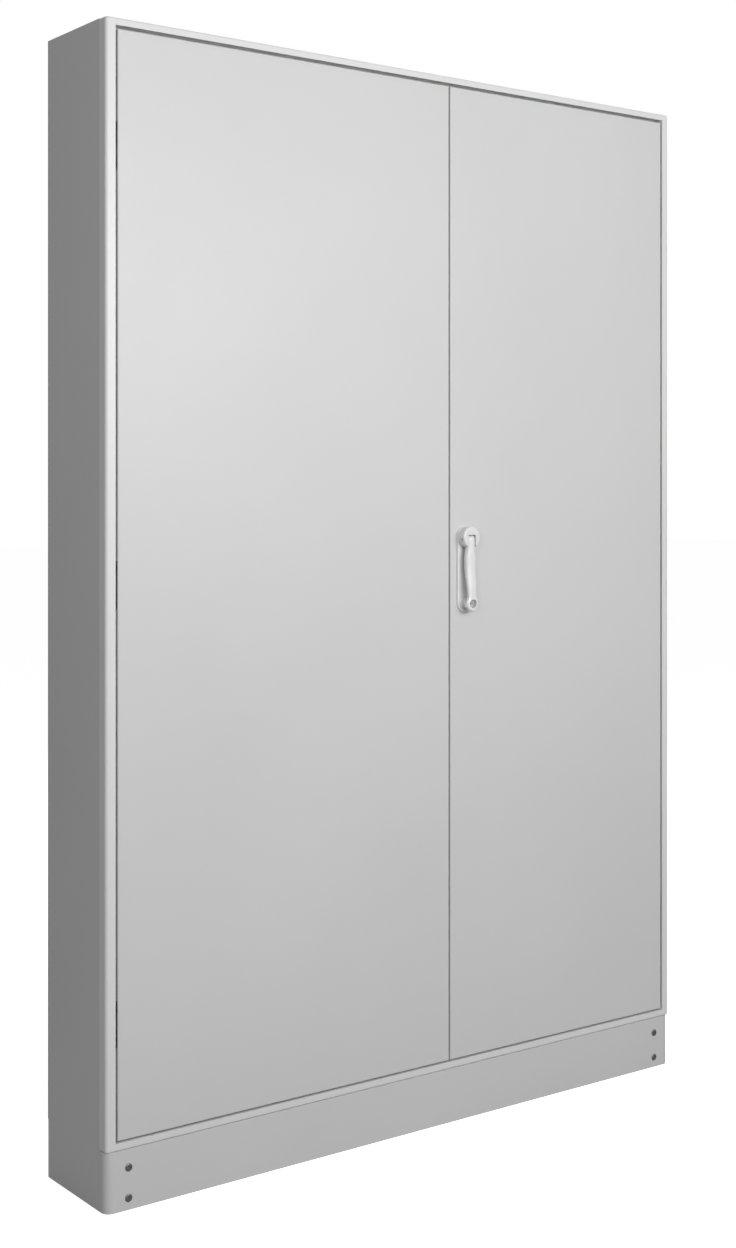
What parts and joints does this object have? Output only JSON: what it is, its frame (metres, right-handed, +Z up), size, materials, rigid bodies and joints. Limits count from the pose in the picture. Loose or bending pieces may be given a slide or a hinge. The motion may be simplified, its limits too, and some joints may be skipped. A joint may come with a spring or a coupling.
{
  "type": "switchboard cabinet",
  "caption": "Floor-standing sheet-steel switchboard cabinet with unequal flush double doors, swing handle, rod lock, plinth and open mounting frame inside.",
  "frame": {"origin": "middle of the footprint, on the floor, with the handle counted in the depth", "axes": "+Z up, +X to the right seen from the front, and the doors face -Y"},
  "size_m": [1.3, 0.236, 1.95],
  "materials": {
    "powder_coat": "fine textured powder coat",
    "plinth_coat": "fine textured powder coat",
    "handle_coat": "satin",
    "galvanised_sheet": "galvanised",
    "zinc_steel": "zinc plated",
    "fasteners": "dark zinc plated",
    "lock_plug": "satin",
    "copper": "drawn copper",
    "foam_seal": "closed-cell foam",
    "grommet_rubber": "matt",
    "black_plastic": "moulded"
  },
  "bodies": {
    "enclosure": {"bottom_gland_plates": "powder_coat", "bottom_grommets": "grommet_rubber", "bottom_panel": "powder_coat", "centre_post": "powder_coat", "earth_bar": "copper", "earth_bar_screws": "fasteners", "earth_bar_supports": "black_plastic", "front_frame": "powder_coat", "gland_screws": "fasteners", "left_hinge_arms": "zinc_steel", "mounting_plate": "galvanised_sheet", "mounting_plate_screws": "fasteners", "mounting_rails": "zinc_steel", "plate_upright_left": "galvanised_sheet", "plate_upright_right": "galvanised_sheet", "plinth_brackets": "plinth_coat", "plinth_front": "plinth_coat", "plinth_rear": "plinth_coat", "plinth_screws": "fasteners", "plinth_side_left": "plinth_coat", "plinth_side_right": "plinth_coat", "rail_screws": "fasteners", "rail_upright_left": "galvanised_sheet", "rail_upright_right": "galvanised_sheet", "rear_panel": "powder_coat", "rear_panel_screws": "fasteners", "right_hinge_arms": "zinc_steel", "side_panel_left": "powder_coat", "side_panel_right": "powder_coat", "top_gland_plates": "powder_coat", "top_grommets": "grommet_rubber", "top_panel": "powder_coat"},
    "left_door": {"left_door_panel": "powder_coat", "left_door_gasket": "foam_seal", "left_door_stiffeners": "galvanised_sheet", "left_door_earth_stud": "zinc_steel", "document_pocket": "black_plastic", "left_hinge_blocks": "zinc_steel", "left_hinge_pins": "zinc_steel", "left_bolt_brackets": "galvanised_sheet"},
    "right_door": {"right_door_panel": "powder_coat", "right_door_gasket": "foam_seal", "right_door_stiffeners": "galvanised_sheet", "right_door_earth_stud": "zinc_steel", "right_hinge_blocks": "zinc_steel", "right_hinge_pins": "zinc_steel", "lock_case": "galvanised_sheet", "lock_case_cover": "galvanised_sheet", "lock_rod_guides": "black_plastic", "handle_base_plate": "handle_coat", "key_cylinder_housing": "handle_coat"},
    "handle_spindle": {"handle_hub": "handle_coat", "lever_pin": "zinc_steel", "drive_pinion": "zinc_steel"},
    "lever": {"handle_lever": "handle_coat"},
    "key_barrel": {"key_plug": "lock_plug"},
    "upper_rod": {"upper_lock_rod": "zinc_steel"},
    "lower_rod": {"lower_lock_rod": "zinc_steel"},
    "left_top_bolt": {"left_upper_bolt": "zinc_steel"},
    "left_foot_bolt": {"left_lower_bolt": "zinc_steel"}
  },
  "joints": [
    {"name": "left_door_hinge", "type": "hinge", "parent": "enclosure", "child": "left_door", "pos_m": [-0.619, -0.0855, 1], "axis": [0, 0, -1], "range_deg": [0, 110]},
    {"name": "right_door_hinge", "type": "hinge", "parent": "enclosure", "child": "right_door", "pos_m": [0.619, -0.0855, 1], "axis": [0, 0, 1], "range_deg": [0, 110]},
    {"name": "handle_turn", "type": "hinge", "parent": "right_door", "child": "handle_spindle", "pos_m": [0.1065, -0.092, 1.091], "axis": [0, -1, 0], "range_deg": [0, 90]},
    {"name": "handle_tilt", "type": "hinge", "parent": "handle_spindle", "child": "lever", "pos_m": [0.1065, -0.107, 1.087], "axis": [-1, 0, 0], "range_deg": [0, 25]},
    {"name": "key_turn", "type": "hinge", "parent": "right_door", "child": "key_barrel", "pos_m": [0.1065, -0.092, 0.967], "axis": [0, -1, 0], "range_deg": [0, 90]},
    {"name": "upper_rod_slide", "type": "slide", "parent": "right_door", "child": "upper_rod", "axis": [0, 0, 1], "range_m": [0, 0.0156]},
    {"name": "lower_rod_slide", "type": "slide", "parent": "right_door", "child": "lower_rod", "axis": [0, 0, -1], "range_m": [0, 0.0156]},
    {"name": "left_top_bolt_slide", "type": "slide", "parent": "left_door", "child": "left_top_bolt", "axis": [0, 0, 1], "range_m": [0, 0.015]},
    {"name": "left_foot_bolt_slide", "type": "slide", "parent": "left_door", "child": "left_foot_bolt", "axis": [0, 0, -1], "range_m": [0, 0.015]}
  ],
  "couplings": [
    {"joint": "upper_rod_slide", "follows": "handle_turn", "m_per_rad": 0.0099},
    {"joint": "lower_rod_slide", "follows": "handle_turn", "m_per_rad": 0.0099}
  ]
}
